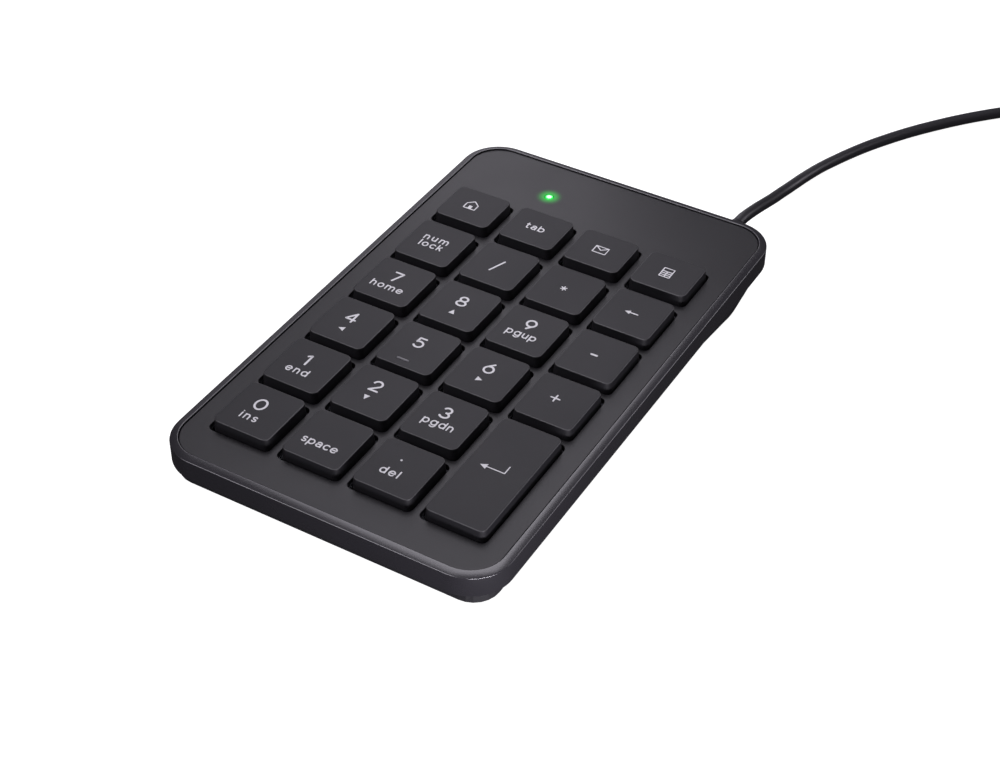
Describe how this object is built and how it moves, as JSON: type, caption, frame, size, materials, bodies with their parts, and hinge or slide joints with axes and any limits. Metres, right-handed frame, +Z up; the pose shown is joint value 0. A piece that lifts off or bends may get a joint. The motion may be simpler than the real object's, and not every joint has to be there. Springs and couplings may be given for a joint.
{
  "type": "numeric keypad",
  "caption": "Slim wired numeric keypad with low flat keys in a rimmed black case that tips forward on a rear ridge, its spare cord wound in a tied coil.",
  "frame": {"origin": "middle of the keypad's footprint on the table, at the underside of its feet", "axes": "+X to the user's right, +Y away from the user toward the rear edge where the cord leaves, +Z up"},
  "size_m": [0.19, 0.2929, 0.0153],
  "materials": {
    "frame_plastic": "satin black moulded plastic",
    "plate_plastic": "fine matt black moulded plastic",
    "base_plastic": "matt black moulded plastic",
    "key_plastic": "fine textured black keycap plastic",
    "legend_ink": "pale printed legends, laid on the key tops when rendered",
    "guide_plastic": "plain grey moulded plastic",
    "silicone": "translucent silicone",
    "circuit_film": "printed polyester film",
    "circuit_board": "green solder mask",
    "chip_resin": "black resin",
    "led_lens": "clear light pipe, lit green",
    "label_paper": "plain blank label",
    "foot_rubber": "black rubber",
    "cord_jacket": "black flexible vinyl",
    "tie_plastic": "black strap",
    "plug_steel": "plated sheet steel",
    "tongue_plastic": "white moulded insulator",
    "screw_steel": "zinc plated"
  },
  "bodies": {
    "case": {"upper_frame": "frame_plastic", "top_plate": "plate_plastic", "bottom_cover": "base_plastic", "key_guide_chassis": "guide_plastic", "dome_sheet": "silicone", "membrane_circuit": "circuit_film", "controller_board": "circuit_board", "controller_chip": "chip_resin", "led_chip": "led_lens", "led_lens": "led_lens", "rating_label": "label_paper", "strain_relief": "cord_jacket", "front_foot_1": "foot_rubber", "front_foot_2": "foot_rubber", "rear_foot_1": "foot_rubber", "rear_foot_2": "foot_rubber", "cord_lead": "cord_jacket", "cord_coil": "cord_jacket", "cord_tail": "cord_jacket", "cord_tie": "tie_plastic", "plug_body": "cord_jacket", "plug_shell": "plug_steel", "plug_tongue": "tongue_plastic", "case_screw_1": "screw_steel", "case_screw_2": "screw_steel", "case_screw_3": "screw_steel", "case_screw_4": "screw_steel", "case_screw_5": "screw_steel"},
    "key_home_page_cap": {"key_home_page": "key_plastic"},
    "key_tab_cap": {"key_tab": "key_plastic"},
    "key_mail_cap": {"key_mail": "key_plastic"},
    "key_calculator_cap": {"key_calculator": "key_plastic"},
    "key_numlock_cap": {"key_numlock": "key_plastic"},
    "key_divide_cap": {"key_divide": "key_plastic"},
    "key_multiply_cap": {"key_multiply": "key_plastic"},
    "key_backspace_cap": {"key_backspace": "key_plastic"},
    "key_7_cap": {"key_7": "key_plastic"},
    "key_8_cap": {"key_8": "key_plastic"},
    "key_9_cap": {"key_9": "key_plastic"},
    "key_minus_cap": {"key_minus": "key_plastic"},
    "key_4_cap": {"key_4": "key_plastic"},
    "key_5_cap": {"key_5": "key_plastic"},
    "key_6_cap": {"key_6": "key_plastic"},
    "key_plus_cap": {"key_plus": "key_plastic"},
    "key_1_cap": {"key_1": "key_plastic"},
    "key_2_cap": {"key_2": "key_plastic"},
    "key_3_cap": {"key_3": "key_plastic"},
    "key_enter_cap": {"key_enter": "key_plastic"},
    "key_0_cap": {"key_0": "key_plastic"},
    "key_space_cap": {"key_space": "key_plastic"},
    "key_point_cap": {"key_point": "key_plastic"}
  },
  "joints": [
    {"name": "key_home_page_press", "type": "slide", "parent": "case", "child": "key_home_page_cap", "axis": [0, 0.0242, -0.9997], "range_m": [0, 0.0021], "stiffness_N_per_m": 250, "springref_m": -0.0006, "deforming": ["dome_sheet"]},
    {"name": "key_tab_press", "type": "slide", "parent": "case", "child": "key_tab_cap", "axis": [0, 0.0242, -0.9997], "range_m": [0, 0.0021], "stiffness_N_per_m": 250, "springref_m": -0.0006, "deforming": ["dome_sheet"]},
    {"name": "key_mail_press", "type": "slide", "parent": "case", "child": "key_mail_cap", "axis": [0, 0.0242, -0.9997], "range_m": [0, 0.0021], "stiffness_N_per_m": 250, "springref_m": -0.0006, "deforming": ["dome_sheet"]},
    {"name": "key_calculator_press", "type": "slide", "parent": "case", "child": "key_calculator_cap", "axis": [0, 0.0242, -0.9997], "range_m": [0, 0.0021], "stiffness_N_per_m": 250, "springref_m": -0.0006, "deforming": ["dome_sheet"]},
    {"name": "key_numlock_press", "type": "slide", "parent": "case", "child": "key_numlock_cap", "axis": [0, 0.0242, -0.9997], "range_m": [0, 0.0021], "stiffness_N_per_m": 250, "springref_m": -0.0006, "deforming": ["dome_sheet"]},
    {"name": "key_divide_press", "type": "slide", "parent": "case", "child": "key_divide_cap", "axis": [0, 0.0242, -0.9997], "range_m": [0, 0.0021], "stiffness_N_per_m": 250, "springref_m": -0.0006, "deforming": ["dome_sheet"]},
    {"name": "key_multiply_press", "type": "slide", "parent": "case", "child": "key_multiply_cap", "axis": [0, 0.0242, -0.9997], "range_m": [0, 0.0021], "stiffness_N_per_m": 250, "springref_m": -0.0006, "deforming": ["dome_sheet"]},
    {"name": "key_backspace_press", "type": "slide", "parent": "case", "child": "key_backspace_cap", "axis": [0, 0.0242, -0.9997], "range_m": [0, 0.0021], "stiffness_N_per_m": 250, "springref_m": -0.0006, "deforming": ["dome_sheet"]},
    {"name": "key_7_press", "type": "slide", "parent": "case", "child": "key_7_cap", "axis": [0, 0.0242, -0.9997], "range_m": [0, 0.0021], "stiffness_N_per_m": 250, "springref_m": -0.0006, "deforming": ["dome_sheet"]},
    {"name": "key_8_press", "type": "slide", "parent": "case", "child": "key_8_cap", "axis": [0, 0.0242, -0.9997], "range_m": [0, 0.0021], "stiffness_N_per_m": 250, "springref_m": -0.0006, "deforming": ["dome_sheet"]},
    {"name": "key_9_press", "type": "slide", "parent": "case", "child": "key_9_cap", "axis": [0, 0.0242, -0.9997], "range_m": [0, 0.0021], "stiffness_N_per_m": 250, "springref_m": -0.0006, "deforming": ["dome_sheet"]},
    {"name": "key_minus_press", "type": "slide", "parent": "case", "child": "key_minus_cap", "axis": [0, 0.0242, -0.9997], "range_m": [0, 0.0021], "stiffness_N_per_m": 250, "springref_m": -0.0006, "deforming": ["dome_sheet"]},
    {"name": "key_4_press", "type": "slide", "parent": "case", "child": "key_4_cap", "axis": [0, 0.0242, -0.9997], "range_m": [0, 0.0021], "stiffness_N_per_m": 250, "springref_m": -0.0006, "deforming": ["dome_sheet"]},
    {"name": "key_5_press", "type": "slide", "parent": "case", "child": "key_5_cap", "axis": [0, 0.0242, -0.9997], "range_m": [0, 0.0021], "stiffness_N_per_m": 250, "springref_m": -0.0006, "deforming": ["dome_sheet"]},
    {"name": "key_6_press", "type": "slide", "parent": "case", "child": "key_6_cap", "axis": [0, 0.0242, -0.9997], "range_m": [0, 0.0021], "stiffness_N_per_m": 250, "springref_m": -0.0006, "deforming": ["dome_sheet"]},
    {"name": "key_plus_press", "type": "slide", "parent": "case", "child": "key_plus_cap", "axis": [0, 0.0242, -0.9997], "range_m": [0, 0.0021], "stiffness_N_per_m": 250, "springref_m": -0.0006, "deforming": ["dome_sheet"]},
    {"name": "key_1_press", "type": "slide", "parent": "case", "child": "key_1_cap", "axis": [0, 0.0242, -0.9997], "range_m": [0, 0.0021], "stiffness_N_per_m": 250, "springref_m": -0.0006, "deforming": ["dome_sheet"]},
    {"name": "key_2_press", "type": "slide", "parent": "case", "child": "key_2_cap", "axis": [0, 0.0242, -0.9997], "range_m": [0, 0.0021], "stiffness_N_per_m": 250, "springref_m": -0.0006, "deforming": ["dome_sheet"]},
    {"name": "key_3_press", "type": "slide", "parent": "case", "child": "key_3_cap", "axis": [0, 0.0242, -0.9997], "range_m": [0, 0.0021], "stiffness_N_per_m": 250, "springref_m": -0.0006, "deforming": ["dome_sheet"]},
    {"name": "key_enter_press", "type": "slide", "parent": "case", "child": "key_enter_cap", "axis": [0, 0.0242, -0.9997], "range_m": [0, 0.0021], "stiffness_N_per_m": 250, "springref_m": -0.0006, "deforming": ["dome_sheet"]},
    {"name": "key_0_press", "type": "slide", "parent": "case", "child": "key_0_cap", "axis": [0, 0.0242, -0.9997], "range_m": [0, 0.0021], "stiffness_N_per_m": 250, "springref_m": -0.0006, "deforming": ["dome_sheet"]},
    {"name": "key_space_press", "type": "slide", "parent": "case", "child": "key_space_cap", "axis": [0, 0.0242, -0.9997], "range_m": [0, 0.0021], "stiffness_N_per_m": 250, "springref_m": -0.0006, "deforming": ["dome_sheet"]},
    {"name": "key_point_press", "type": "slide", "parent": "case", "child": "key_point_cap", "axis": [0, 0.0242, -0.9997], "range_m": [0, 0.0021], "stiffness_N_per_m": 250, "springref_m": -0.0006, "deforming": ["dome_sheet"]}
  ]
}
